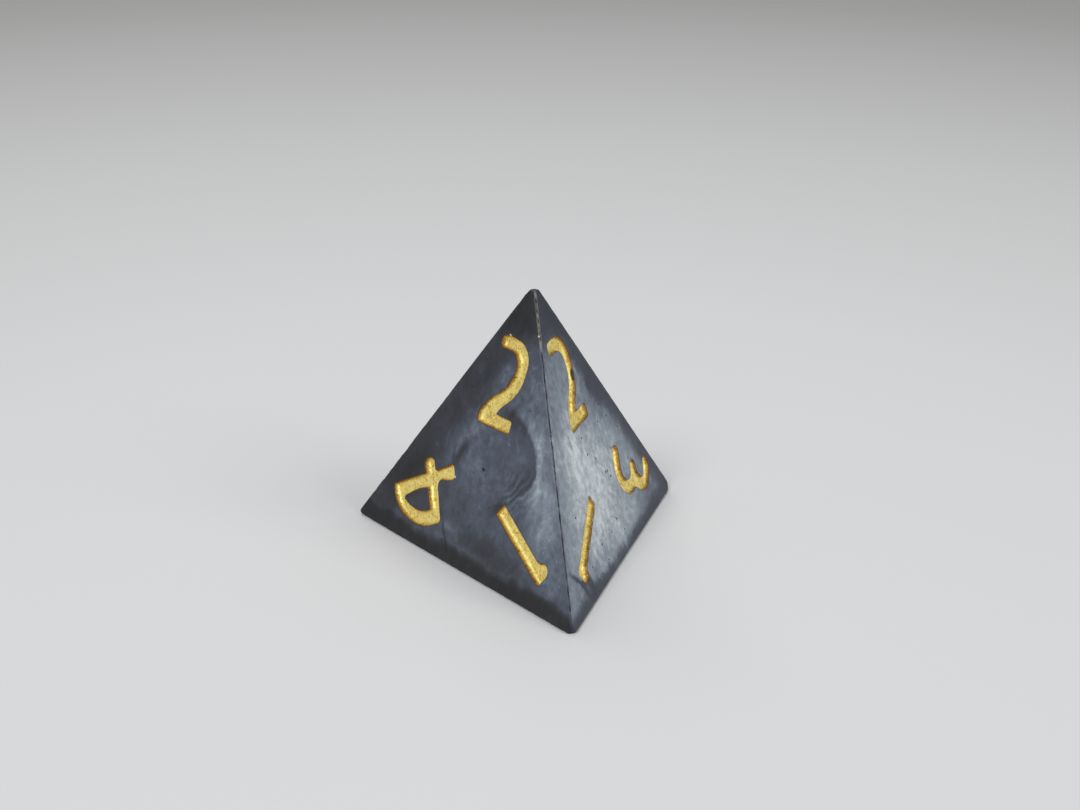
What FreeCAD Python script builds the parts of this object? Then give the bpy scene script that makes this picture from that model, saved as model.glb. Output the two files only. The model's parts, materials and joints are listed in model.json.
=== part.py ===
import FreeCAD
import Part

import math
import os

# A four-sided die: one cast resin body with three sunken numerals on each face, and a film of
# gold paint lying in each numeral.  It rests on one face, with the corner that counts pointing up.
#
# Frame: origin at the middle of the resting face, +Z up through the apex corner, and the front
# corner of the resting face towards -Y.  Millimetres.

# ---- driving dimensions --------------------------------------------------------------------
edge_length = 20.0          # sharp corner to sharp corner, before the edges are eased
edge_radius = 0.15          # easing along the six edges
corner_cut = {              # how far each corner is sanded back along its own axis
    1: 0.55,
    2: 0.58,
    3: 0.66,
    4: 0.40,
}

numeral_height = 5.25       # foot to head of a numeral
numeral_depth = 0.40        # sunk below the face
corner_to_numeral = 3.85    # along the face, from the sharp corner to the numeral's head
numeral_shift = {           # how much nearer its corner each numeral was cut
    1: -0.06,
    2: 0.38,
    3: 0.0,
    4: -0.14,
}

paint_floor = 0.10          # thickness of the paint lying on the numeral's floor
paint_wall = 0.05           # thickness of the paint clinging to the numeral's walls
paint_below_face = 0.05     # the paint stops this far under the face

# ---- the bare tetrahedron ------------------------------------------------------------------
die_height = edge_length * math.sqrt(2.0 / 3.0)
face_radius = edge_length / math.sqrt(3.0)      # from a face's middle to its corners
centre_height = die_height / 4.0                # the die's middle above the resting face


def around(degrees):
    """A corner of the resting face, at this bearing from +X."""
    turn = math.radians(degrees)
    return FreeCAD.Vector(face_radius * math.cos(turn), face_radius * math.sin(turn), 0.0)


# Each corner is known by the number that is read when it points up.
corners = {
    1: around(-90.0),                            # front
    2: FreeCAD.Vector(0.0, 0.0, die_height),     # apex
    3: around(30.0),                             # right
    4: around(150.0),                            # left
}
faces = {
    "front_left": (1, 2, 4),
    "front_right": (1, 2, 3),
    "back": (2, 3, 4),
    "base": (1, 3, 4),
}
centre = FreeCAD.Vector(0.0, 0.0, centre_height)


def middle_of(face):
    """The middle of a face."""
    total = FreeCAD.Vector()
    for number in faces[face]:
        total = total + corners[number]
    return total * (1.0 / 3.0)


def outward(face):
    """The unit normal that points out of a face."""
    return (middle_of(face) - centre).normalize()


def bare_tetrahedron():
    """The die before sanding, as a closed solid of four flat faces."""
    sides = []
    for numbers in faces.values():
        a, b, c = [corners[number] for number in numbers]
        sides.append(Part.Face(Part.makePolygon([a, b, c, a])))
    return Part.Solid(Part.Shell(sides))


def sand_corners(shape):
    """Each corner cut back flat, square to the line from the die's middle."""
    for number, corner in corners.items():
        axis = (corner - centre).normalize()
        side = 4.0 * corner_cut[number]             # wider than the cut through the corner
        block = Part.makeBox(side, side, side)
        block.translate(FreeCAD.Vector(-side / 2.0, -side / 2.0, 0.0))
        block.rotate(FreeCAD.Vector(), *turn_from_z(axis))
        block.translate(corner - axis * corner_cut[number])
        shape = shape.cut(block)
    return shape


def turn_from_z(axis):
    """The axis and angle in degrees that turn +Z onto a unit vector."""
    turn = FreeCAD.Rotation(FreeCAD.Vector(0.0, 0.0, 1.0), axis)
    return turn.Axis, math.degrees(turn.Angle)


# ---- the numerals --------------------------------------------------------------------------
# Outlines drawn 5.25 tall, foot at y = 0, on the centre line x = 0; the rounded heads of the 3
# and the 4 rise a little above that.  From the start point, each step is (x, y) for a straight
# run or (x, y, x, y) for an arc through one point to the next.
drawn_height = 5.25


def outline(start, *steps):
    """A closed wire in the plane z = 0, scaled to the numeral's height."""
    scale = numeral_height / drawn_height

    def place(x, y):
        return FreeCAD.Vector(x * scale, y * scale, 0.0)

    here = place(*start)
    first = here
    edges = []
    for step in steps:
        there = place(*step[-2:])
        if len(step) == 4:
            edges.append(Part.Arc(here, place(*step[:2]), there).toShape())
        else:
            edges.append(Part.makeLine(here, there))
        here = there
    if not here.isEqual(first, 1e-7):
        edges.append(Part.makeLine(here, first))
    return Part.Wire(edges)


def one():
    """A plain stem with a short flag at its head."""
    return [outline(
        (-0.28, 0.02),
        (0.42, 0.00), (0.48, 0.02, 0.49, 0.10),
        (0.46, 4.95), (0.44, 5.14, 0.26, 5.25),
        (-0.30, 5.25), (-0.66, 5.12, -0.77, 4.85), (-0.71, 4.58, -0.54, 4.44),
        (-0.42, 4.30, -0.38, 4.00), (-0.34, 0.10), (-0.33, 0.04, -0.28, 0.02),
    )]


def two():
    """A hooked head, a swept neck and a flat foot."""
    return [outline(
        (-1.58, 0.00),
        (1.02, 0.00), (1.12, 0.04, 1.15, 0.16),
        (1.15, 0.58), (1.12, 0.74, 0.98, 0.78),
        (-0.26, 0.78), (0.02, 1.24, 0.44, 1.66), (1.08, 2.56, 1.27, 3.62),
        (0.96, 4.76, 0.02, 5.22), (-0.58, 5.27, -1.18, 5.20), (-1.30, 4.86, -1.12, 4.50),
        (-0.72, 4.53, -0.30, 4.50), (0.25, 4.22, 0.42, 3.62), (0.14, 2.66, -0.50, 1.94),
        (-1.16, 1.34, -1.60, 0.66), (-1.66, 0.34, -1.58, 0.00),
    )]


def three():
    """Two open bowls with a blunt middle arm."""
    return [outline(
        (-1.40, 0.06),
        (-0.60, 0.00, 0.20, 0.22), (0.86, 0.80, 1.12, 1.62), (1.06, 2.26, 0.80, 2.82),
        (0.62, 3.06, 0.60, 3.36), (0.68, 3.68, 0.70, 4.06), (0.34, 4.94, -0.56, 5.38),
        (-0.98, 5.44, -1.36, 5.30), (-1.52, 4.96, -1.34, 4.64),
        (-0.98, 4.56, -0.62, 4.52), (-0.20, 4.38, -0.12, 4.06), (-0.30, 3.60, -0.76, 3.32),
        (-0.90, 3.28), (-1.06, 2.92, -0.88, 2.56),
        (-0.60, 2.44), (-0.28, 2.52, 0.02, 2.40), (0.26, 2.10, 0.28, 1.74),
        (0.08, 1.20, -0.42, 1.00), (-0.88, 0.94, -1.38, 0.94), (-1.60, 0.50, -1.40, 0.06),
    )]


def four():
    """A closed bowl, a crossbar that runs past the stem, and a flared foot."""
    outside = outline(
        (0.52, 0.02),
        (0.94, 0.00), (1.10, 0.06, 1.14, 0.34),
        (1.10, 1.62), (1.42, 1.66), (1.80, 1.70, 1.96, 2.06), (1.86, 2.42, 1.60, 2.48),
        (1.12, 2.44), (1.06, 5.40), (0.52, 5.42), (-0.60, 5.02, -1.38, 4.22),
        (-1.87, 3.26, -1.95, 2.08), (-1.90, 1.74, -1.62, 1.64),
        (0.06, 1.58), (0.38, 1.44, 0.50, 1.14), (0.36, 0.80, 0.30, 0.46),
        (0.34, 0.12, 0.52, 0.02),
    )
    counter = outline(
        (-1.05, 2.44),
        (0.26, 2.44), (0.32, 3.50, 0.20, 4.34), (0.12, 4.56, -0.02, 4.58),
        (-0.56, 4.06, -0.92, 3.50), (-1.05, 2.96, -1.05, 2.44),
    )
    return [outside, counter]


numerals = {1: one, 2: two, 3: three, 4: four}


def sheet_of(wires):
    """A flat face from an outline and its counters."""
    sheet = Part.Face(wires[0])
    for hole in wires[1:]:
        sheet = sheet.cut(Part.Face(hole))
    return sheet.Faces[0]


def prism(sheet, bottom, top):
    """The sheet as a block between two heights."""
    low = sheet.copy()
    low.translate(FreeCAD.Vector(0.0, 0.0, bottom))
    return low.extrude(FreeCAD.Vector(0.0, 0.0, top - bottom))


def numeral_shapes(number):
    """The pocket's cutter and the paint that lies in it, in the numeral's own flat frame."""
    sheet = sheet_of(numerals[number]())
    pocket = prism(sheet, -numeral_depth, numeral_depth)
    bare = sheet.makeOffset2D(-paint_wall)
    inside = prism(bare, paint_floor - numeral_depth, numeral_depth)
    paint = prism(sheet, -numeral_depth, -paint_below_face).cut(inside)
    return pocket, paint


def placement(face, number):
    """Puts a numeral's flat frame on a face, head towards the corner that it belongs to."""
    up = (corners[number] - middle_of(face)).normalize()
    normal = outward(face)
    across = up.cross(normal)
    foot = corners[number] - up * (corner_to_numeral + numeral_height - numeral_shift[number])
    turn = FreeCAD.Matrix(
        across.x, up.x, normal.x, foot.x,
        across.y, up.y, normal.y, foot.y,
        across.z, up.z, normal.z, foot.z,
        0.0, 0.0, 0.0, 1.0,
    )
    return FreeCAD.Placement(turn)


def save(name, shape):
    """Writes one node."""
    if not shape.isValid():
        raise RuntimeError(name + " is not a valid solid")
    shape.exportStep(os.path.join("parts", name + ".step"))


def build():
    """Makes the body and the twelve films of paint."""
    os.makedirs("parts", exist_ok=True)
    sanded = sand_corners(bare_tetrahedron())
    body = sanded.makeFillet(edge_radius, sanded.Edges)
    for face, numbers in faces.items():
        for number in numbers:
            pocket, paint = numeral_shapes(number)
            spot = placement(face, number)
            pocket.Placement = spot.multiply(pocket.Placement)
            paint.Placement = spot.multiply(paint.Placement)
            body = body.cut(pocket)
            save("paint_" + str(number) + "_" + face, paint)
    save("die_body", body)


build()
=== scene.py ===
import json
import math

import bmesh
import bpy
import numpy as np
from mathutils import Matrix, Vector, geometry


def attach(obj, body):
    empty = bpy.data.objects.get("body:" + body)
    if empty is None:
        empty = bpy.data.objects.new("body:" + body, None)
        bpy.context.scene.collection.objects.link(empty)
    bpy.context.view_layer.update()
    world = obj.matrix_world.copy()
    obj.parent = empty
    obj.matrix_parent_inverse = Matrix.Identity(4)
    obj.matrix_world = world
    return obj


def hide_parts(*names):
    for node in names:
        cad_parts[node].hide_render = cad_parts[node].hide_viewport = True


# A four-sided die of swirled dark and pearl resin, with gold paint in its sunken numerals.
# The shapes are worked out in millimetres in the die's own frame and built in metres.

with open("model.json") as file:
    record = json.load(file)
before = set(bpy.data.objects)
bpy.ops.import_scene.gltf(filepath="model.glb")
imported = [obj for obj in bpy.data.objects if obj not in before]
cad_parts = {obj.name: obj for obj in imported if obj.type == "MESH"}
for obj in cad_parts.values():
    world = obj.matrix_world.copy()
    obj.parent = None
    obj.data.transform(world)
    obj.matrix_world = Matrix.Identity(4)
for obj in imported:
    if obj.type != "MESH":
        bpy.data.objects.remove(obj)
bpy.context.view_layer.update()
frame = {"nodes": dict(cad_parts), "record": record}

MM = 0.001

# ---- sizes, in millimetres -------------------------------------------------------------------
edge_radius = 0.15          # easing along the six edges
tip_radius = 1.0            # the sanded tips are small domes
tip_softness = 0.12         # how gently a dome runs into the edges
numeral_depth = 0.40        # floor of a numeral below the face
rim_radius = 0.035          # easing round the rim of a numeral
rim_step = 0.05             # spacing of points along a numeral's rim
edge_step = 0.10            # spacing of points along the die's edges
face_step = 0.16            # spacing of points over the open face
film_step = 0.06            # spacing of points over the paint
row_rise = 0.866            # rows of a staggered grid, as a share of its spacing
merge_gap = 0.0002          # points nearer than this are one
near_limit = 0.6            # distances to an outline are measured this far
face_margin = 0.42          # the grid on a face keeps this far from the die's edges
rim_margin = 0.15           # and this far from the numerals
film_margin = 0.33          # the grid on the paint keeps this far from its walls
wave_height = 0.012         # sanding waves over the faces
wave_length = 2.6
nick_depth = 0.19           # nicks along the edges
nick_length = 0.5
paint_top = 0.05            # where the paint starts below the face
paint_level = 0.30          # the paint's level on the numeral's floor
paint_fillet = 0.34         # how far in from the wall the paint lies flat
paint_clearance = 0.002     # air between the paint and the numeral's floor
grain_height = 0.016        # pebbles on the paint
grain_size = 0.07
flow_height = 0.05          # unevenness of the paint
flow_size = 0.6

edge_rows = (0.025, 0.05, 0.08, 0.11, 0.15, 0.20, 0.27, 0.36)
rim_rows = (0.012, 0.024, 0.036, 0.07, 0.12)
wall_rows = (0.08, 0.20, 0.36, numeral_depth)
film_rows = (0.01, 0.02, 0.035, 0.05, 0.075, 0.10, 0.14, 0.19, 0.25, 0.30)
pit_rows = (0.25, 0.5, 0.75, 1.0, 1.3)


# ---- the die's faces, from the resting faces in the record ------------------------------------
def mount(name):
    """Middle, in millimetres, and outward direction of one of the die's faces."""
    for entry in frame["record"]["mounts"]:
        if entry["name"] == name:
            return np.array(entry["pos_m"]) / MM, np.array(entry["axis"])
    raise ValueError(name)


face_mounts = {
    "front_left": "front_left_face",
    "front_right": "front_right_face",
    "back": "back_face",
    "base": "resting_face",
}
numbers_on = {
    "front_left": (1, 2, 4),
    "front_right": (1, 2, 3),
    "back": (2, 3, 4),
    "base": (1, 3, 4),
}
opposite = {1: "back", 2: "base", 3: "front_left", 4: "front_right"}

die_middle = sum(mount(name)[0] for name in face_mounts.values()) / 4.0
corners = {}
for number, face_name in opposite.items():
    corners[number] = die_middle - 3.0 * (mount(face_mounts[face_name])[0] - die_middle)


class Face:
    """A face with its own flat frame: across to the right and up to its top corner."""

    def __init__(self, name):
        self.name = name
        self.middle, self.out = mount(face_mounts[name])
        self.out = self.out / np.linalg.norm(self.out)
        top = 1 if name == "base" else 2
        self.up = corners[top] - self.middle
        self.up = self.up / np.linalg.norm(self.up)
        self.across = np.cross(self.up, self.out)

    def flat(self, points):
        """Across, up and height above the face, for points in millimetres."""
        away = np.asarray(points) - self.middle
        return np.stack([away @ self.across, away @ self.up, away @ self.out], -1)

    def solid(self, flat, height=0.0):
        """The point in the die's frame for a place on the face."""
        flat = np.asarray(flat)
        height = np.broadcast_to(height, flat.shape[:-1])
        return (self.middle + flat[..., :1] * self.across + flat[..., 1:2] * self.up
                + height[..., None] * self.out)


faces = {name: Face(name) for name in face_mounts}

# Small pits in each face: across, up and radius.  Those on the hidden faces lie at random.
pits = {
    "front_left": [
        (-0.10, 0.35, 0.13), (0.02, 0.37, 0.09), (1.15, -1.50, 0.06), (-0.35, 0.95, 0.05),
        (0.10, -0.45, 0.05), (2.35, 4.60, 0.06), (-1.95, -4.55, 0.07),
    ],
    "front_right": [
        (-0.75, 2.15, 0.08), (-0.70, 1.10, 0.09), (0.20, 0.45, 0.08), (0.95, -0.72, 0.10),
        (1.22, -0.78, 0.09), (1.45, -1.20, 0.10), (1.62, -0.70, 0.05), (2.10, 2.00, 0.07),
        (3.00, 2.75, 0.08), (3.55, 1.80, 0.07), (-4.90, -0.95, 0.08), (0.25, -3.40, 0.11),
        (-2.70, -3.65, 0.09), (-4.90, -4.00, 0.06), (-3.90, -4.90, 0.07), (-2.50, -4.70, 0.07),
        (0.90, -4.40, 0.07), (2.72, 0.05, 0.06), (4.70, 0.60, 0.06),
    ],
}
pit_seeds = {"back": 11, "base": 12}
for face_name, seed in pit_seeds.items():
    chance = np.random.default_rng(seed)
    pits[face_name] = [
        (chance.uniform(-3.0, 3.0), chance.uniform(-2.5, 2.5), chance.uniform(0.05, 0.11))
        for _ in range(9)
    ]


# ---- outlines of the numerals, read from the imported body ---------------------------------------
def chained(pairs):
    """Closed runs of vertices from a list of edges."""
    links = {}
    for a, b in pairs:
        links.setdefault(a, []).append(b)
        links.setdefault(b, []).append(a)
    runs = []
    while links:
        start = next(iter(links))
        run, here = [start], links[start][0]
        before = start
        while here != start:
            run.append(here)
            onward = links[here][0] if links[here][0] != before else links[here][1]
            before, here = here, onward
        for vertex in run:
            del links[vertex]
        runs.append(run)
    return runs


def evened(loop, step):
    """A closed outline with evenly spaced points and its sharp corners just taken off."""
    closed = np.vstack([loop, loop[:1]])
    lengths = np.linalg.norm(np.diff(closed, axis=0), axis=1)
    travelled = np.concatenate([[0.0], np.cumsum(lengths)])
    count = max(12, int(round(travelled[-1] / step)))
    stops = np.arange(count) * travelled[-1] / count
    even = np.stack([np.interp(stops, travelled, closed[:, k]) for k in (0, 1)], -1)
    for _ in range(2):
        even = 0.5 * even + 0.25 * (np.roll(even, 1, 0) + np.roll(even, -1, 0))
    return even


def rim_outlines(face):
    """The numerals' outlines on one face: number to its loops, outer loop first."""
    body = bmesh.new()
    body.from_mesh(frame["nodes"]["die_body"].data)
    bmesh.ops.remove_doubles(body, verts=body.verts, dist=1e-7)
    flat = face.flat([vertex.co / MM for vertex in body.verts])
    out = Vector(face.out)
    body.verts.index_update()
    pairs = []
    for edge in body.edges:
        ends = [vertex.index for vertex in edge.verts]
        if max(abs(flat[ends, 2])) > 0.002 or len(edge.link_faces) != 2:
            continue
        leans = sorted(abs(side.normal.dot(out)) for side in edge.link_faces)
        if leans[0] < 0.2 and leans[1] > 0.99:
            pairs.append(ends)
    body.free()
    found = {}
    for run in chained(pairs):
        loop = flat[run, :2]
        place = face.solid(loop.mean(0))
        number = min(numbers_on[face.name], key=lambda n: np.linalg.norm(corners[n] - place))
        found.setdefault(number, []).append(evened(loop, rim_step))
    for loops in found.values():
        loops.sort(key=lambda loop: -np.ptp(loop[:, 1]) - np.ptp(loop[:, 0]))
    return found


# ---- flat meshes -------------------------------------------------------------------------------
def inside(points, loops):
    """Which points lie inside the loops, counters taken out."""
    odd = np.zeros(len(points), bool)
    for loop in loops:
        following = np.roll(loop, -1, 0)
        for (x0, y0), (x1, y1) in zip(loop, following):
            crosses = (y0 > points[:, 1]) != (y1 > points[:, 1])
            if crosses.any():
                reach = (x1 - x0) * (points[:, 1] - y0) / (y1 - y0) + x0
                odd ^= crosses & (points[:, 0] < reach)
    return odd


def nearness(points, loops):
    """Distance from each point to the nearest outline."""
    best = np.full(len(points), np.inf)
    for loop in loops:
        following = np.roll(loop, -1, 0)
        run = following - loop
        length2 = (run ** 2).sum(1)
        for start, along, size in zip(loop, run, length2):
            box = np.abs(points - start).max(1) < near_limit
            if not box.any():
                continue
            away = points[box] - start
            share = np.clip(away @ along / size, 0.0, 1.0)
            gap = np.linalg.norm(away - share[:, None] * along, axis=1)
            best[box] = np.minimum(best[box], gap)
    return best


def rows_beside(loops, offsets, side):
    """Rows of points beside outlines, outside (side 1) or inside (side -1)."""
    rows = []
    for loop in loops:
        along = np.roll(loop, -1, 0) - np.roll(loop, 1, 0)
        normal = np.stack([along[:, 1], -along[:, 0]], -1)
        normal /= np.linalg.norm(normal, axis=1)[:, None]
        if inside(loop[:1] + 0.01 * normal[:1], loops)[0]:
            normal = -normal
        for offset in offsets:
            row = loop + side * offset * normal
            rows.append(row[nearness(row, loops) > 0.9 * offset])
    return np.vstack(rows)


def triangular_grid(low, high, step):
    """Evenly spaced points over a box, in staggered rows."""
    rows = []
    count = int((high[1] - low[1]) / (step * row_rise)) + 1
    for index in range(count):
        xs = np.arange(low[0] + 0.5 * step * (index % 2), high[0], step)
        rows.append(np.stack([xs, np.full(len(xs), low[1] + index * step * row_rise)], -1))
    return np.vstack(rows)


def triangulated(loops, free):
    """Triangles over outlines and free points."""
    points = np.vstack(loops + [free])
    edges = []
    first = 0
    for loop in loops:
        count = len(loop)
        edges += [(first + k, first + (k + 1) % count) for k in range(count)]
        first += count
    result = geometry.delaunay_2d_cdt([Vector(p) for p in points], edges, [], 0, 1e-6)
    flat = np.array([list(p) for p in result[0]])
    return flat, np.array([list(t) for t in result[2]])


def from_edges(flat, outline):
    """Distance of points from the nearest of the die's three edges round the face."""
    best = np.full(len(flat), np.inf)
    for k in range(3):
        start, end = outline[k], outline[(k + 1) % 3]
        along = (end - start) / np.linalg.norm(end - start)
        away = flat - start
        best = np.minimum(best, np.abs(away[:, 0] * along[1] - away[:, 1] * along[0]))
    return best


def open_edges(triangles):
    """The edges that have a triangle on one side only."""
    edges = np.vstack([triangles[:, [0, 1]], triangles[:, [1, 2]], triangles[:, [2, 0]]])
    _, index, uses = np.unique(
        np.sort(edges, axis=1), axis=0, return_index=True, return_counts=True)
    return edges[index[uses == 1]]


def walls(edges, count, levels):
    """Triangles down from edges through stacked copies of the same points."""
    a, b = edges.T
    rows = []
    for level in range(levels):
        here, below = level * count, (level + 1) * count
        rows.append(np.stack([a + here, a + below, b + below], -1))
        rows.append(np.stack([a + here, b + below, b + here], -1))
    return np.vstack(rows)


def edge_points(outline):
    """Points along a face's three edges, and rows of points just inside them."""
    border, bands = [], []
    for k in range(3):
        start, end = outline[k], outline[(k + 1) % 3]
        count = int(round(np.linalg.norm(end - start) / edge_step))
        share = np.arange(count)[:, None] / count
        border.append(start + share * (end - start))
        inward = -(start + end) / np.linalg.norm(start + end)
        for row in edge_rows:
            band = start + (share + 0.5 / count) * (end - start) + row * inward
            bands.append(band[from_edges(band, outline) > 0.98 * row])
    return np.vstack(border), np.vstack(bands)


def open_face_points(outline, loops):
    """An even grid between a face's edges and its numerals."""
    grid = triangular_grid(outline.min(0), outline.max(0), face_step)
    grid = grid[(from_edges(grid, outline) > face_margin) & inside(grid, [outline])]
    return grid[~inside(grid, loops) & (nearness(grid, loops) > rim_margin)]


def pit_points(dents, loops):
    """Rings of points over a face's pits."""
    turns = np.arange(14) / 14 * 2.0 * math.pi
    circle = np.stack([np.cos(turns), np.sin(turns)], -1)
    points = []
    for x, y, radius in dents:
        points += [np.array([[x, y]]) + circle * radius * share for share in pit_rows]
        points.append(np.array([[x, y]]))
    points = np.vstack(points)
    return points[~inside(points, loops) & (nearness(points, loops) > 0.02)]


def face_shell(face, numerals):
    """One face of the body with its numerals sunk: points, triangles, skin and rim marks."""
    outline = np.array([face.flat(corners[n])[:2] for n in numbers_on[face.name]])
    loops = [loop for group in numerals.values() for loop in group]
    border, bands = edge_points(outline)
    free = np.vstack([bands, open_face_points(outline, loops),
                      pit_points(pits[face.name], loops), rows_beside(loops, rim_rows, 1)])
    flat, triangles = triangulated([border] + loops, free)
    sunk = inside(flat[triangles].mean(1), loops)
    gap = np.minimum(nearness(flat, loops), 3.0 * rim_radius)
    drop = rim_radius - np.sqrt(rim_radius ** 2 - np.maximum(rim_radius - gap, 0.0) ** 2)
    count, levels = len(flat), len(wall_rows)
    points = [face.solid(flat, -drop)] + [face.solid(flat, -depth) for depth in wall_rows]
    triangles = np.vstack([
        triangles[~sunk], walls(open_edges(triangles[sunk]), count, levels),
        triangles[sunk] + levels * count])
    skin = np.concatenate([gap >= rim_radius, np.zeros(levels * count)])
    rim = np.concatenate([np.clip(2.0 - gap / rim_radius, 0.0, 1.0), np.ones(levels * count)])
    used, triangles = np.unique(triangles, return_inverse=True)
    return np.vstack(points)[used], triangles.reshape(-1, 3), skin[used], rim[used]


# ---- meshes and objects ------------------------------------------------------------------------
def marked_object(name, points, triangles=(), marks=None):
    """A mesh object in metres from points in millimetres, with named values on its points."""
    mesh = bpy.data.meshes.new(name)
    mesh.from_pydata([tuple(p) for p in np.array(points) * MM], [], [tuple(t) for t in triangles])
    for mark, values in (marks or {}).items():
        layer = mesh.attributes.new(mark, "FLOAT", "POINT")
        layer.data.foreach_set("value", np.asarray(values, np.float32))
    thing = bpy.data.objects.new(name, mesh)
    bpy.context.scene.collection.objects.link(thing)
    return thing


def new_object(name, points, triangles, marks=None):
    """A marked object with its doubles merged and its faces turned outwards."""
    thing = marked_object(name, points, triangles, marks)
    work = bmesh.new()
    work.from_mesh(thing.data)
    bmesh.ops.remove_doubles(work, verts=work.verts, dist=merge_gap * MM)
    bmesh.ops.recalc_face_normals(work, faces=work.faces)
    work.to_mesh(thing.data)
    work.free()
    return thing


# ---- node expressions --------------------------------------------------------------------------
class Value:
    """A node's output that can be used in arithmetic."""

    def __init__(self, tree, socket):
        self.tree = tree
        self.socket = socket

    def math(self, operation, *others):
        sockets = {0: self}
        sockets.update({k + 1: other for k, other in enumerate(others)})
        return self.tree.make("ShaderNodeMath", {"operation": operation}, sockets)

    def __add__(self, other):
        return self.math("ADD", other)

    def __sub__(self, other):
        return self.math("SUBTRACT", other)

    def __rsub__(self, other):
        return (self * -1.0) + other

    def __mul__(self, other):
        return self.math("MULTIPLY", other)

    def __truediv__(self, other):
        return self.math("DIVIDE", other)

    def __rtruediv__(self, other):
        return self.math("POWER", -1.0) * other

    __radd__ = __add__
    __rmul__ = __mul__


class Nodes:
    """Makes nodes in one tree."""

    def __init__(self, tree):
        self.tree = tree

    def make(self, kind, settings=None, sockets=None, output=0):
        """A node of this type, its settings, and the values or links of its sockets."""
        node = self.tree.nodes.new(kind)
        for name, setting in (settings or {}).items():
            if name == "stops":
                self.set_stops(node.color_ramp, setting)
            else:
                setattr(node, name, setting)
        for name, value in (sockets or {}).items():
            if isinstance(value, Value):
                self.tree.links.new(value.socket, node.inputs[name])
            else:
                node.inputs[name].default_value = value
        return Value(self, node.outputs[output]) if node.outputs else node

    @staticmethod
    def set_stops(ramp, stops):
        while len(ramp.elements) < len(stops):
            ramp.elements.new(0.5)
        for element, (place, colour) in zip(ramp.elements, stops):
            element.position = place
            element.color = colour

    def vector(self, operation, *others, output=0):
        sockets = {k: other for k, other in enumerate(others)}
        if operation == "SCALE":
            sockets = {0: others[0], "Scale": others[1]}
        return self.make("ShaderNodeVectorMath", {"operation": operation}, sockets, output)

    def dot(self, a, b):
        return self.vector("DOT_PRODUCT", a, b, output="Value")

    def length(self, a):
        return self.vector("LENGTH", a, output="Value")

    def noise(self, place, scale, detail=2.0, roughness=0.5, seed=0.0, output=0):
        return self.make(
            "ShaderNodeTexNoise", {"noise_dimensions": "4D"},
            {"Vector": place, "W": seed, "Scale": scale, "Detail": detail,
             "Roughness": roughness}, output)

    def ease(self, value, low, high, to_low=0.0, to_high=1.0):
        """Smooth step of a value from one range to another."""
        return self.make(
            "ShaderNodeMapRange", {"interpolation_type": "SMOOTHSTEP"},
            {"Value": value, "From Min": low, "From Max": high, "To Min": to_low,
             "To Max": to_high})

    def blend(self, share, a, b, kind="RGBA"):
        """Colour a to colour b, or vector a to vector b, by a share."""
        place = {"RGBA": (6, 7, 2), "VECTOR": (4, 5, 1)}[kind]
        return self.make(
            "ShaderNodeMix", {"data_type": kind},
            {0: share, place[0]: a, place[1]: b}, place[2])


def srgb(red, green, blue):
    """A display colour, 0 to 255, as the linear colour, with its alpha, of a socket."""
    parts = []
    for part in (red, green, blue):
        part = part / 255.0
        parts.append(part / 12.92 if part <= 0.04045 else ((part + 0.055) / 1.055) ** 2.4)
    return (*parts, 1.0)


# ---- shape rules as geometry nodes ---------------------------------------------------------------
def shape_tree(name, inputs):
    """A geometry tree with named inputs; gives its nodes, its inputs and their identifiers."""
    tree = bpy.data.node_groups.new(name, "GeometryNodeTree")
    tree.interface.new_socket("Geometry", in_out="INPUT", socket_type="NodeSocketGeometry")
    tree.interface.new_socket("Geometry", in_out="OUTPUT", socket_type="NodeSocketGeometry")
    keys = {}
    for label, kind in inputs.items():
        item = tree.interface.new_socket(label, in_out="INPUT", socket_type="NodeSocket" + kind)
        keys[label] = item.identifier
    start = tree.nodes.new("NodeGroupInput")
    nodes = Nodes(tree)
    given = {socket.name: Value(nodes, socket) for socket in start.outputs if socket.name}
    return nodes, given, keys


def finish_tree(nodes, shape, material):
    """Every tree ends in plain geometry with its material."""
    real = nodes.make("GeometryNodeRealizeInstances", {}, {"Geometry": shape})
    done = nodes.make("GeometryNodeSetMaterial", {}, {"Geometry": real, "Material": material})
    end = nodes.tree.nodes.new("NodeGroupOutput")
    nodes.tree.links.new(done.socket, end.inputs[0])


def use_tree(thing, nodes, keys, values):
    """Puts the tree on a piece with these values, and makes the result plain mesh."""
    modifier = thing.modifiers.new(nodes.tree.name, "NODES")
    modifier.node_group = nodes.tree
    for label, value in values.items():
        modifier[keys[label]] = value
    view = bpy.context.evaluated_depsgraph_get()
    mesh = bpy.data.meshes.new_from_object(
        thing.evaluated_get(view), preserve_all_data_layers=True, depsgraph=view)
    thing.modifiers.clear()
    thing.data = mesh
    mesh.shade_smooth()


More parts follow.
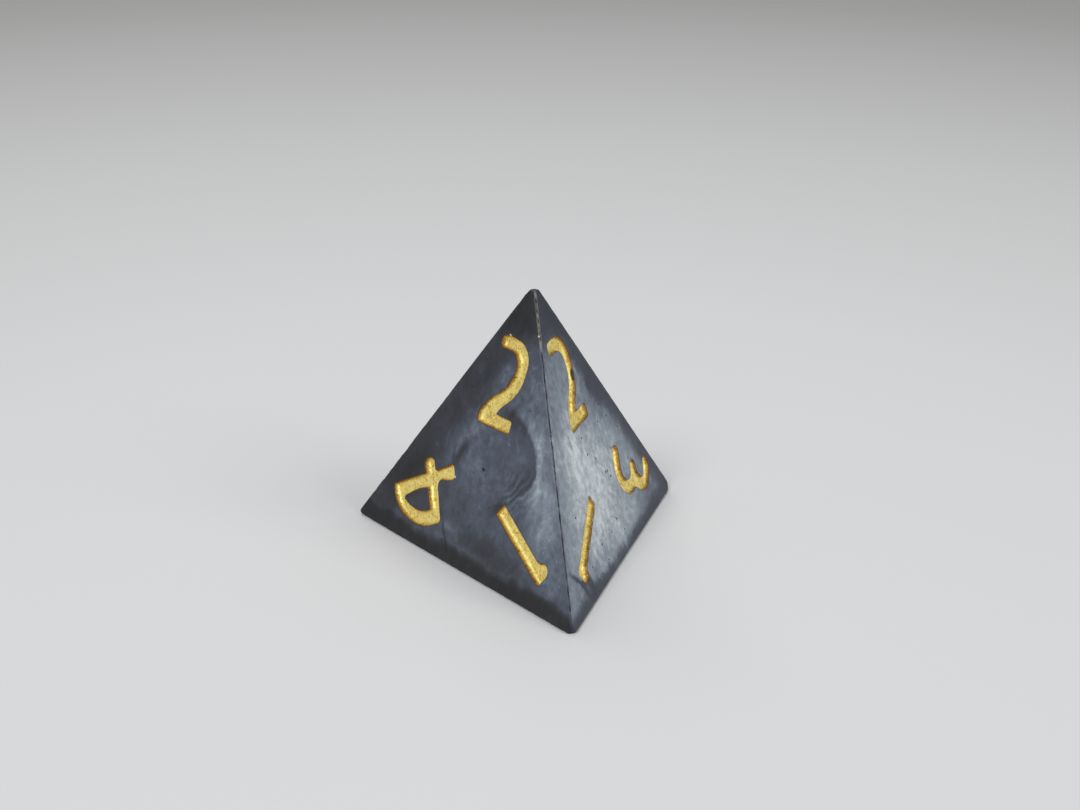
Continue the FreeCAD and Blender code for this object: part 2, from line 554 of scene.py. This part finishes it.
def sanding_tree():
    """Eases the edges, domes the tips, and leaves sanding waves, nicks and pits."""
    nodes, given, keys = shape_tree("sanding", {
        "Core": "Object", "Tips": "Object", "Pits": "Object", "Middle": "Vector",
        "Edge radius": "Float", "Tip radius": "Float", "Tip softness": "Float",
        "Wave height": "Float", "Wave length": "Float", "Nick depth": "Float",
        "Nick length": "Float", "Seed": "Float", "Material": "Material",
    })

    def shape_of(label):
        return nodes.make("GeometryNodeObjectInfo", {"transform_space": "ORIGINAL"},
                          {"Object": given[label]}, "Geometry")

    def nearest(label, kind, place, output):
        return nodes.make("GeometryNodeProximity", {"target_element": kind},
                          {0: shape_of(label), "Sample Position": place}, output)

    place = nodes.make("GeometryNodeInputPosition")
    skin = nodes.make("GeometryNodeInputNamedAttribute", {"data_type": "FLOAT"},
                      {"Name": "skin"})
    radius = given["Edge radius"]
    core = nearest("Core", "FACES", place, "Position")
    apart = nodes.vector("SUBTRACT", place, core)
    away = nodes.vector("NORMALIZE", apart)
    eased = nodes.vector("ADD", core, nodes.vector("SCALE", away, radius))
    at_edge = nodes.ease(nodes.length(apart) / radius, 1.0, 1.6)

    grain = nodes.vector("SCALE", place, 1.0 / given["Nick length"])
    nicks = nodes.ease(nodes.noise(grain, 1.0, 3.0, 0.6, given["Seed"]), 0.44, 0.68)
    nick = nicks * at_edge * given["Nick depth"]
    swell = nodes.vector("SCALE", place, 1.0 / given["Wave length"])
    wave = nodes.noise(swell, 1.0, 2.0, 0.5, given["Seed"] + 5.0) * given["Wave height"]

    tip = nearest("Tips", "POINTS", eased, "Position")
    reach = nodes.vector("SUBTRACT", eased, tip)
    far = nodes.length(reach)
    tip_axis = nodes.vector("NORMALIZE", nodes.vector("SUBTRACT", tip, given["Middle"]))
    held = far.math("SMOOTH_MIN", given["Tip radius"], given["Tip softness"])
    domed = nodes.vector("ADD", tip, nodes.vector("SCALE", reach, held / far))
    beyond = nodes.dot(reach, tip_axis).math("GREATER_THAN", given["Tip radius"] * 0.5)
    near = far.math("LESS_THAN", given["Tip radius"] * 2.2)
    tipped = nodes.blend(beyond * near, eased, domed, "VECTOR")

    pit_far = nearest("Pits", "POINTS", place, "Distance")
    pit_shape = shape_of("Pits")
    pit_size = nodes.make("GeometryNodeInputNamedAttribute", {"data_type": "FLOAT"},
                          {"Name": "size"})
    pit_index = nodes.make("GeometryNodeSampleNearest", {"domain": "POINT"},
                           {0: pit_shape, "Sample Position": place})
    pit_radius = nodes.make("GeometryNodeSampleIndex", {"data_type": "FLOAT"},
                            {0: pit_shape, "Value": pit_size, "Index": pit_index})
    share = pit_far / pit_radius
    bowl = (1.0 - share * share).math("MAXIMUM", 0.0)
    pit = bowl * pit_radius * 0.9
    stored = nodes.make("GeometryNodeStoreNamedAttribute", {"data_type": "FLOAT"},
                        {"Geometry": given["Geometry"], "Name": "pit", "Value": bowl})
    sunk = nodes.vector("SCALE", away, (nick + wave + pit) * -1.0)
    moved = nodes.make("GeometryNodeSetPosition", {}, {
        "Geometry": stored, "Selection": skin.math("GREATER_THAN", 0.5),
        "Position": nodes.vector("ADD", tipped, sunk)})
    finish_tree(nodes, moved, given["Material"])
    return nodes, keys


def paint_tree():
    """Gives a film of paint its pebbled top."""
    nodes, given, keys = shape_tree("brushed_paint", {
        "Grain height": "Float", "Grain size": "Float", "Flow height": "Float",
        "Flow size": "Float", "Seed": "Float", "Material": "Material",
    })
    place = nodes.make("GeometryNodeInputPosition")
    top = nodes.make("GeometryNodeInputNamedAttribute", {"data_type": "FLOAT"}, {"Name": "top"})
    normal = nodes.make("GeometryNodeInputNormal")
    fine = nodes.noise(nodes.vector("SCALE", place, 1.0 / given["Grain size"]), 1.0, 2.0, 0.6,
                       given["Seed"]) - 0.5
    broad = nodes.noise(nodes.vector("SCALE", place, 1.0 / given["Flow size"]), 1.0, 1.0, 0.5,
                        given["Seed"] + 3.0) - 0.5
    lift = (fine * given["Grain height"] + broad * given["Flow height"]) * top
    moved = nodes.make("GeometryNodeSetPosition", {}, {
        "Geometry": given["Geometry"], "Offset": nodes.vector("SCALE", normal, lift)})
    finish_tree(nodes, moved, given["Material"])
    return nodes, keys


# ---- finishes ------------------------------------------------------------------------------------
def new_material(name):
    """An empty material: its nodes and a way to finish it."""
    material = bpy.data.materials.new(name)
    material.use_nodes = True
    material.node_tree.nodes.clear()
    nodes = Nodes(material.node_tree)

    def finish(sockets):
        shader = nodes.make("ShaderNodeBsdfPrincipled", {}, sockets)
        nodes.make("ShaderNodeOutputMaterial", {}, {"Surface": shader})
        return material
    return nodes, finish


def in_millimetres(nodes):
    """Place on the piece, in the die's frame."""
    place = nodes.make("ShaderNodeTexCoord", {}, {}, "Object")
    return nodes.vector("SCALE", place, 1.0 / MM)


class Cloud:
    """Soft patches of pearl and dark resin, drawn in a face's flat frame."""

    def __init__(self, nodes, place, face):
        self.nodes = nodes
        away = nodes.vector("SUBTRACT", place, tuple(face.middle))
        self.across = nodes.dot(away, tuple(face.across))
        self.up = nodes.dot(away, tuple(face.up))
        self.depth = nodes.dot(away, tuple(-face.out))

    def patch(self, across, up, long, wide, tilt=0.0, sharp=1.0):
        """An oval, 1 in its middle and fading out."""
        turn = math.radians(tilt)
        x, y = self.across - across, self.up - up
        along = (x * math.cos(turn) + y * math.sin(turn)) / long
        over = (y * math.cos(turn) - x * math.sin(turn)) / wide
        fall = (along * along + over * over) * (-sharp)
        return fall.math("EXPONENT")

    def distance(self, across, up):
        """How far from a point of the face."""
        x, y = self.across - across, self.up - up
        return (x * x + y * y).math("SQRT")

    def facing(self, across, up, start, end, crisp):
        """1 between two bearings about a point, in degrees, and 0 beyond them."""
        x, y = self.across - across, self.up - up
        bearing = y.math("ARCTAN2", x) * (180.0 / math.pi)
        middle, half = (start + end) / 2.0, (end - start) / 2.0
        return self.nodes.ease((bearing - middle).math("ABSOLUTE"), half, crisp * half)

    def ring(self, across, up, radius, width, start, end):
        """Part of a soft ring between two bearings."""
        band = (self.distance(across, up) - radius) / width
        return (band * band * -1.0).math("EXPONENT") * self.facing(across, up, start, end, 0.5)

    def crescent(self, across, up, radius, fade, start, end):
        """Inside part of a disc: 1 at its crisp rim, fading towards its middle."""
        far = self.distance(across, up)
        within = self.nodes.ease(far, radius + 0.16, radius - 0.16)
        rising = self.nodes.ease(far, radius - fade, radius)
        return within * rising * self.facing(across, up, start, end, 0.4)

    def ripples(self, across, up, spacing):
        """Fine arcs about a point, from -1 to 1."""
        return (self.distance(across, up) * (2.0 * math.pi / spacing)).math("SINE")

    def side(self, bearing, reach, soft):
        """1 within a distance of one edge of the face; the edge is named by its bearing."""
        turn = math.radians(bearing)
        inradius = np.linalg.norm(faces["base"].middle - corners[1]) / 2.0
        gap = inradius - (self.across * math.cos(turn) + self.up * math.sin(turn))
        return self.nodes.ease(gap, reach + soft, reach - soft)


# Bearings of a face's edges from its middle, in degrees.
to_top_left, to_top_right, to_foot = 150.0, 30.0, 270.0


def pearl_on_left(left):
    """How much pearl shows on the front left face, from 0, black, to 1, silver; it runs darker along
    its foot.
    """
    amount = 0.48 - 0.25 * left.side(to_top_left, 2.3, 0.9)
    amount = amount - 0.20 * left.patch(-5.2, -2.4, 3.4, 2.3)
    amount = amount + 0.27 * left.patch(4.9, 0.6, 4.2, 1.35, -60.0)
    amount = amount - 0.24 * left.crescent(1.0, 1.3, 2.85, 1.9, -55.0, 125.0)
    amount = amount + 0.07 * left.ring(1.0, 1.3, 3.25, 0.25, -40.0, 100.0)
    amount = amount + 0.12 * left.ripples(0.9, 1.5, 0.42) * left.patch(3.0, 0.1, 1.3, 0.8, 50.0)
    amount = amount + 0.06 * left.patch(-2.4, 1.3, 1.9, 1.3, 50.0)
    amount = amount - 0.30 * left.patch(-2.1, 0.75, 1.1, 0.38, 62.0, 1.8)
    amount = amount - 0.20 * left.patch(-2.75, 0.5, 0.8, 0.22, 100.0, 1.8)
    amount = amount - 0.16 * left.patch(1.25, 4.2, 0.7, 0.18, 75.0)
    amount = amount + 0.07 * left.patch(-0.7, -0.1, 1.2, 1.0)
    amount = amount + 0.10 * left.patch(-3.55, 1.4, 0.9, 0.13, 82.0)
    amount = amount - 0.24 * left.patch(1.8, -1.3, 0.75, 0.4, 40.0)
    amount = amount - 0.22 * left.patch(2.2, -4.0, 3.6, 0.65, -5.0)
    amount = amount + 0.24 * left.patch(-1.7, -3.6, 0.9, 0.38, -4.0)
    amount = amount + 0.12 * left.patch(-0.3, 5.9, 0.3, 0.8, -20.0)
    amount = amount - 0.12 * left.nodes.ease(left.up, 7.8, 8.8)
    # Darker along the foot of the face.
    amount = amount - 0.42 * left.side(to_foot, 1.0, 0.3)
    amount = amount - 0.26 * left.patch(-1.95, -4.2, 1.1, 0.10, -58.0)
    return amount


def pearl_and_sheen_on_right(right):
    """How much pearl shows on the front right face, its bright middle partly painted sheen; it runs
    darker along its foot.
    """
    # The bright middle of this face is partly pearl and partly painted sheen.
    amount = 0.66 + 0.26 * right.patch(-1.0, -0.6, 4.4, 3.8)
    amount = amount + 0.10 * right.patch(-2.9, 2.2, 3.6, 1.6, 60.0)
    amount = amount - 0.34 * right.side(to_top_right, 1.1, 0.8)
    amount = amount - 0.22 * right.patch(2.9, 4.0, 2.8, 1.0, -60.0)
    amount = amount - 0.42 * right.nodes.ease(right.up, 6.8, 9.4)
    amount = amount - 0.06 * right.patch(-3.4, 4.4, 3.4, 0.7, 60.0)
    amount = amount + 0.08 * right.patch(-4.2, -2.8, 3.0, 1.2)
    amount = amount + 0.10 * right.patch(2.2, -4.1, 2.4, 0.8)
    # Darker along the foot of the face.
    amount = amount - 0.34 * right.side(to_foot, 0.75, 0.4)
    amount = amount - 0.14 * right.patch(6.4, -4.6, 2.6, 1.2, 10.0)
    amount = amount - 0.45 * right.patch(-6.9, -4.0, 1.1, 0.13, -44.0)
    amount = amount - 0.48 * right.patch(-5.8, -4.9, 1.1, 0.22, -80.0)
    amount = amount - 0.40 * right.patch(-6.6, -4.6, 1.0, 0.10, -60.0)
    amount = amount - 0.18 * right.patch(2.7, 4.3, 0.6, 0.35, 30.0)
    amount = amount + 0.12 * right.patch(1.25, 5.6, 1.0, 0.14, 80.0)
    return amount


def wander(nodes, place, reach, scale, detail, roughness, seed):
    """An offset that drifts over the piece, to about half its reach each way."""
    drift = nodes.noise(place, scale, detail, roughness, seed, "Color")
    return nodes.vector("SCALE", nodes.vector("SUBTRACT", drift, (0.5, 0.5, 0.5)), reach)


def pearl_anywhere(nodes, place):
    """The same pour on the faces that have no drawn patches."""
    folded = nodes.vector("ADD", place, wander(nodes, place, 7.0, 0.16, 3.0, 0.5, 2.0))
    bands = nodes.noise(folded, 0.23, 4.0, 0.55, 4.0)
    return nodes.ease(bands, 0.36, 0.66, 0.12, 0.95)


pearl_tones = [
    (0.00, srgb(14, 14, 18)),
    (0.18, srgb(38, 39, 44)),
    (0.34, srgb(54, 57, 67)),
    (0.50, srgb(73, 81, 95)),
    (0.65, srgb(104, 114, 127)),
    (0.80, srgb(140, 150, 159)),
    (1.00, srgb(204, 212, 214)),
]


blue_shade = srgb(35, 43, 60)
pit_shade = srgb(24, 26, 32)
edge_shade = srgb(22, 24, 30)
worn_edge = srgb(158, 154, 136)
yellow_fleck = srgb(196, 196, 128)
chalk_fleck = srgb(206, 208, 210)
# brown for paint stain and painted shade round the numerals' rims
paint_stain_and_shade = srgb(74, 50, 20)


def mark(nodes, name):
    """A named value that the mesh carries."""
    return nodes.make("ShaderNodeAttribute", {"attribute_name": name}, {}, "Fac")


class Pour:
    """The places and masks that the resin's patterns share."""

    def __init__(self, nodes):
        self.nodes = nodes
        self.place = in_millimetres(nodes)
        broad = wander(nodes, self.place, 1.3, 0.55, 3.0, 0.5, 1.0)
        fine = wander(nodes, self.place, 0.35, 2.4, 4.0, 0.6, 2.0)
        self.stirred = nodes.vector("ADD", nodes.vector("ADD", self.place, broad), fine)
        self.left = Cloud(nodes, self.place, faces["front_left"])
        self.right = Cloud(nodes, self.place, faces["front_right"])
        self.on_right = nodes.ease(self.left.depth - self.right.depth, -0.05, 0.05)
        shallow = self.left.depth.math("MINIMUM", self.right.depth)
        self.drawn = nodes.ease(shallow, 5.0, 1.5)


def swirls(pour):
    """How much pearl shows, before its fine grain, with painted sheen in it on the front right face.
    """
    nodes, on_right, drawn = pour.nodes, pour.on_right, pour.drawn
    left = pearl_on_left(Cloud(nodes, pour.stirred, faces["front_left"]))
    right = pearl_and_sheen_on_right(Cloud(nodes, pour.stirred, faces["front_right"]))
    two_faces = on_right * right + (1.0 - on_right) * left
    return drawn * two_faces + (1.0 - drawn) * pearl_anywhere(nodes, pour.stirred)


def grained(pour, pearl):
    """Adds mottling, wisps, threads and specks of pearl dust."""
    nodes, place = pour.nodes, pour.place
    mottle = nodes.noise(place, 2.6, 6.0, 0.7, 7.0) - 0.5
    drawn_out = nodes.vector("MULTIPLY", pour.stirred, (1.0, 1.0, 0.35))
    wisps = nodes.noise(drawn_out, 1.6, 5.0, 0.65, 9.0) - 0.5
    threads = 1.0 - (nodes.noise(drawn_out, 0.9, 3.0, 0.5, 13.0) - 0.5).math("ABSOLUTE") * 14.0
    threads = threads.math("MAXIMUM", 0.0)
    pearl = pearl + mottle * (0.16 + 0.44 * pearl) + wisps * 0.34
    pearl = pearl + threads * (nodes.noise(place, 0.7, 1.0, 0.5, 15.0) - 0.45) * 0.35
    dust = nodes.make("ShaderNodeTexVoronoi", {"feature": "F1"},
                      {"Vector": place, "Scale": 1.5, "Randomness": 1.0}, "Distance")
    return pearl + nodes.ease(dust, 0.085, 0.04) * 0.22


def resin_tone(pour, pearl):
    """Charcoal to silver, bluer in the shade of the right face."""
    tone = pour.nodes.make("ShaderNodeValToRGB", {"stops": pearl_tones}, {0: pearl})
    navy = pour.nodes.ease(pearl, 0.62, 0.25) * pour.on_right * pour.drawn
    return pour.nodes.blend(navy * 0.75, tone, blue_shade)


def with_dark_pits(nodes, tone):
    """Painted shade in the pits."""
    return nodes.blend(nodes.ease(mark(nodes, "pit"), 0.0, 0.3) * 0.92, tone, pit_shade)


def with_front_edge(pour, tone):
    """A broken dark line down the edge between the front faces, worn pale near its top."""
    nodes, up = pour.nodes, pour.left.up
    at_edge = nodes.ease(pour.left.depth.math("MAXIMUM", pour.right.depth), 0.17, 0.08)
    broken = nodes.ease(nodes.noise(pour.place, 1.3, 3.0, 0.6, 21.0), 0.32, 0.46)
    line = at_edge * (0.35 + 0.65 * broken) * nodes.ease(up, 8.6, 7.6)
    tone = nodes.blend(line * 0.9, tone, edge_shade)
    worn = at_edge * broken * nodes.ease(up, 7.6, 8.4) * 0.38
    return nodes.blend(worn, tone, worn_edge)


def with_flecks(pour, tone):
    """Small yellow and chalky marks on the left face."""
    nodes, left = pour.nodes, pour.left
    near_left = nodes.ease(left.depth, 0.7, 0.4) * (1.0 - pour.on_right)
    yellow = left.patch(1.52, 8.68, 0.10, 0.06) + left.patch(1.85, 8.3, 0.12, 0.03, -60.0)
    tone = nodes.blend(nodes.ease(yellow, 0.3, 0.6) * near_left, tone, yellow_fleck)
    chalk = left.patch(-0.66, 8.1, 0.16, 0.07, -30.0) + left.patch(-2.2, -0.8, 0.08, 0.08)
    return nodes.blend(nodes.ease(chalk, 0.3, 0.6) * near_left, tone, chalk_fleck)


def with_stained_and_shaded_rims(pour, tone):
    """Paint that has crept over the numerals' rims, with painted shade where the rims fall away into
    the numerals.
    """
    nodes = pour.nodes
    patchy = nodes.ease(nodes.noise(pour.place, 3.0, 3.0, 0.6, 31.0), 0.30, 0.55)
    return nodes.blend(mark(nodes, "rim") * patchy * 0.85, tone, paint_stain_and_shade)


def resin():
    """Satin cast resin, swirled from charcoal through blue-grey to silver pearl."""
    nodes, finish = new_material("swirled_resin")
    pour = Pour(nodes)
    pearl = grained(pour, swirls(pour))
    tone = with_dark_pits(nodes, resin_tone(pour, pearl))
    tone = with_front_edge(pour, tone)
    tone = with_flecks(pour, tone)
    tone = with_stained_and_shaded_rims(pour, tone)
    satin = nodes.noise(pour.place, 6.0, 3.0, 0.6, 5.0)
    gloss = 0.40 + satin * 0.16 - pearl * 0.06
    scratch_place = nodes.vector("MULTIPLY", pour.place, (3.0, 3.0, 14.0))
    scratches = nodes.noise(scratch_place, 2.2, 4.0, 0.7, 6.0)
    bumps = nodes.make("ShaderNodeBump", {}, {
        "Strength": 0.25, "Distance": 0.00002, "Height": scratches})
    return finish({"Base Color": tone, "Roughness": gloss, "Metallic": 0.0,
                   "Normal": bumps, "IOR": 1.5})


def gold_paint():
    """Metallic gold paint, grainy on the flat, with painted shade in a darker brown-gold on the
    walls.
    """
    nodes, finish = new_material("gold_paint")
    place = in_millimetres(nodes)
    wall = mark(nodes, "wall")
    flakes = nodes.make("ShaderNodeTexVoronoi", {"feature": "F1"},
                        {"Vector": place, "Scale": 11.0, "Randomness": 1.0}, "Color")
    sparkle = nodes.dot(flakes, (0.333, 0.333, 0.333))
    cloudy = nodes.noise(place, 2.2, 3.0, 0.6, 3.0)
    shade = nodes.ease(cloudy * 0.55 + sparkle * 0.45, 0.22, 0.62)
    flat_gold = nodes.blend(shade, srgb(198, 154, 48), srgb(255, 238, 146))
    # Painted shade: the numerals' walls in a darker brown-gold.
    shaded_amber = nodes.blend(shade, srgb(96, 62, 12), srgb(194, 144, 48))
    patchy = nodes.ease(wall + (nodes.noise(place, 5.0, 3.0, 0.6, 8.0) - 0.5) * 0.5, 0.25, 0.85)
    tone = nodes.blend(patchy, flat_gold, shaded_amber)
    missed = Cloud(nodes, place, faces["front_right"]).patch(1.16, 5.35, 0.7, 0.22, 68.0)
    missed = nodes.ease(missed, 0.35, 0.6) * nodes.ease(wall, 0.05, 0.35)
    tone = nodes.blend(missed * 0.9, tone, srgb(30, 30, 34))
    grain = nodes.noise(place, 26.0, 3.0, 0.7, 1.0)
    bumps = nodes.make("ShaderNodeBump", {}, {
        "Strength": 0.5, "Distance": 0.00002, "Height": grain + sparkle * 0.5})
    gloss = 0.42 + (1.0 - sparkle) * 0.16
    return finish({"Base Color": tone, "Roughness": gloss, "Metallic": 0.55, "Normal": bumps})


# ---- the pieces ------------------------------------------------------------------------------------
def corner_axis(number):
    """From the die's middle to a corner."""
    away = corners[number] - die_middle
    return away / np.linalg.norm(away)


def tip_cut(number):
    """How far a corner is sanded back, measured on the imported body."""
    points = np.array([v.co for v in frame["nodes"]["die_body"].data.vertices]) / MM
    reach = ((points - die_middle) @ corner_axis(number)).max()
    return np.linalg.norm(corners[number] - die_middle) - reach


def bare_body(outlines):
    """The four faces joined with sharp edges and tips, and their numerals sunk."""
    points, triangles, skins, rims = [], [], [], []
    first = 0
    for name, face in faces.items():
        part_points, part_triangles, skin, rim = face_shell(face, outlines[name])
        points.append(part_points)
        triangles.append(part_triangles + first)
        skins.append(skin)
        rims.append(rim)
        first += len(part_points)
    return new_object("resin_body", np.vstack(points), np.vstack(triangles),
                      {"skin": np.concatenate(skins), "rim": np.concatenate(rims)})


def core_and_tips():
    """The inner tetrahedron that the edges are rounded about, and the domes' middles."""
    order = sorted(corners)
    core_points = [corners[n] - corner_axis(n) * 3.0 * edge_radius for n in order]
    core = marked_object("core", core_points, [(0, 1, 2), (0, 1, 3), (0, 2, 3), (1, 2, 3)])
    domes = [corners[n] - corner_axis(n) * (tip_cut(n) + tip_radius) for n in order]
    return core, marked_object("tips", domes)


def pit_markers():
    """The pits' middles, each with its size."""
    spots, sizes = [], []
    for name, dents in pits.items():
        for x, y, radius in dents:
            spots.append(faces[name].solid([x, y]))
            sizes.append(radius * MM)
    return marked_object("dimples", spots, (), {"size": sizes})


def resin_body(outlines, material):
    """The cast body: four faces, twelve sunken numerals, eased edges and sanded tips."""
    body = bare_body(outlines)
    core, tips = core_and_tips()
    dimples = pit_markers()
    nodes, keys = sanding_tree()
    use_tree(body, nodes, keys, {
        "Core": core, "Tips": tips, "Pits": dimples, "Middle": tuple(die_middle * MM),
        "Edge radius": edge_radius * MM, "Tip radius": tip_radius * MM,
        "Tip softness": tip_softness * MM, "Wave height": wave_height * MM,
        "Wave length": wave_length * MM, "Nick depth": nick_depth * MM,
        "Nick length": nick_length * MM, "Seed": 3.0, "Material": material,
    })
    for spare in (core, tips, dimples):
        bpy.data.objects.remove(spare)
    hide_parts("die_body")
    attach(body, "root")


def film(face, number, loops, nodes, keys, material):
    """The paint in one numeral: a thin trough on its floor and up its walls."""
    low = np.min([loop.min(0) for loop in loops], axis=0)
    high = np.max([loop.max(0) for loop in loops], axis=0)
    grid = triangular_grid(low, high, film_step)
    grid = grid[inside(grid, loops)]
    grid = grid[nearness(grid, loops) > film_margin]
    rows = rows_beside(loops, film_rows, -1)
    flat, triangles = triangulated(loops, np.vstack([grid, rows]))
    triangles = triangles[inside(flat[triangles].mean(1), loops)]
    gap = np.minimum(nearness(flat, loops), near_limit)
    climb = (1.0 - np.clip(gap / paint_fillet, 0.0, 1.0)) ** 3
    height = -paint_level + (paint_level - paint_top) * climb
    top = face.solid(flat, height)
    under = face.solid(flat, -numeral_depth + paint_clearance)
    count = len(flat)
    sides = walls(open_edges(triangles), count, 1)
    piece = new_object(
        "gold_%d_%s" % (number, face.name), np.vstack([top, under]),
        np.vstack([triangles, triangles + count, sides]),
        {"top": np.concatenate([np.minimum(gap / 0.05, 1.0), np.zeros(count)]),
         "wall": np.concatenate([climb, np.ones(count)])})
    use_tree(piece, nodes, keys, {
        "Grain height": grain_height * MM, "Grain size": grain_size * MM,
        "Flow height": flow_height * MM, "Flow size": flow_size * MM, "Seed": float(number),
        "Material": material,
    })
    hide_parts("paint_%d_%s" % (number, face.name))
    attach(piece, "root")


floor_rings = (40.0, 120.0, 400.0, 2500.0)
floor_turns = 64
# The darker tones further out are painted shade.
floor_tones = [             # from the middle out to floor_fade
    (0.00, srgb(213, 213, 213)),
    (0.16, srgb(210, 210, 210)),
    (0.36, srgb(197, 197, 196)),
    (0.72, srgb(160, 160, 157)),
    (1.00, srgb(138, 138, 136)),
]
floor_fade = 250.0


def stand():
    """A wide pale floor, with painted shade that darkens it a little with distance."""
    points, triangles = [(0.0, 0.0, 0.0)], []
    for radius in floor_rings:
        for k in range(floor_turns):
            angle = 2.0 * math.pi * k / floor_turns
            points.append((radius * math.cos(angle), radius * math.sin(angle), 0.0))
    for k in range(floor_turns):
        after = (k + 1) % floor_turns
        triangles.append((0, 1 + k, 1 + after))
        for ring in range(len(floor_rings) - 1):
            a, b = 1 + ring * floor_turns, 1 + (ring + 1) * floor_turns
            triangles += [(a + k, b + k, b + after), (a + k, b + after, a + after)]
    floor = new_object("floor", np.array(points), triangles)
    nodes, finish = new_material("pale_floor")
    far = nodes.length(in_millimetres(nodes))
    tone = nodes.make("ShaderNodeValToRGB", {"stops": floor_tones}, {0: far / floor_fade})
    floor.data.materials.append(finish({"Base Color": tone, "Roughness": 0.8}))


sky_colour = (0.95, 0.97, 1.0, 1.0)
sky_strength = 0.41
lamps = {                   # place and size in metres, power in watts
    "key": ((-0.27, -0.28, 0.40), 0.20, 1.45),
    "fill": ((0.35, -0.30, 0.30), 0.30, 1.12),
    "back": ((-0.05, 0.40, 0.36), 0.40, 0.6),
}
camera_place = (-0.01719, -0.09121, 0.04816)        # metres
camera_turn = (67.0, -0.15, -10.82)                 # degrees
camera_lens = 58.7                                  # millimetres, on a 36 mm sensor


def light():
    """Soft studio light: a pale sky and three round lamps that face the die."""
    world = bpy.data.worlds.new("studio")
    bpy.context.scene.world = world
    world.use_nodes = True
    sky = world.node_tree.nodes["Background"]
    sky.inputs["Color"].default_value = sky_colour
    sky.inputs["Strength"].default_value = sky_strength
    for name, (place, size, power) in lamps.items():
        lamp = bpy.data.lights.new(name, "AREA")
        lamp.shape = "DISK"
        lamp.size = size
        lamp.energy = power
        holder = bpy.data.objects.new(name, lamp)
        holder.location = place
        aim = Vector(die_middle * MM) - Vector(place)
        holder.rotation_euler = aim.to_track_quat("-Z", "Y").to_euler()
        bpy.context.scene.collection.objects.link(holder)


def view():
    """A camera a little above the die and to the left of its front."""
    camera = bpy.data.cameras.new("camera")
    camera.sensor_width = 36.0
    camera.lens = camera_lens
    camera.clip_start = 0.01
    eye = bpy.data.objects.new("camera", camera)
    eye.location = camera_place
    eye.rotation_euler = [math.radians(angle) for angle in camera_turn]
    bpy.context.scene.collection.objects.link(eye)
    bpy.context.scene.camera = eye
    bpy.context.scene.view_settings.view_transform = "Standard"


light()
view()
stand()
outlines = {name: rim_outlines(face) for name, face in faces.items()}
resin_body(outlines, resin())
gold = gold_paint()
film_nodes, film_keys = paint_tree()
for name, groups in outlines.items():
    for number, loops in groups.items():
        film(faces[name], number, loops, film_nodes, film_keys, gold)
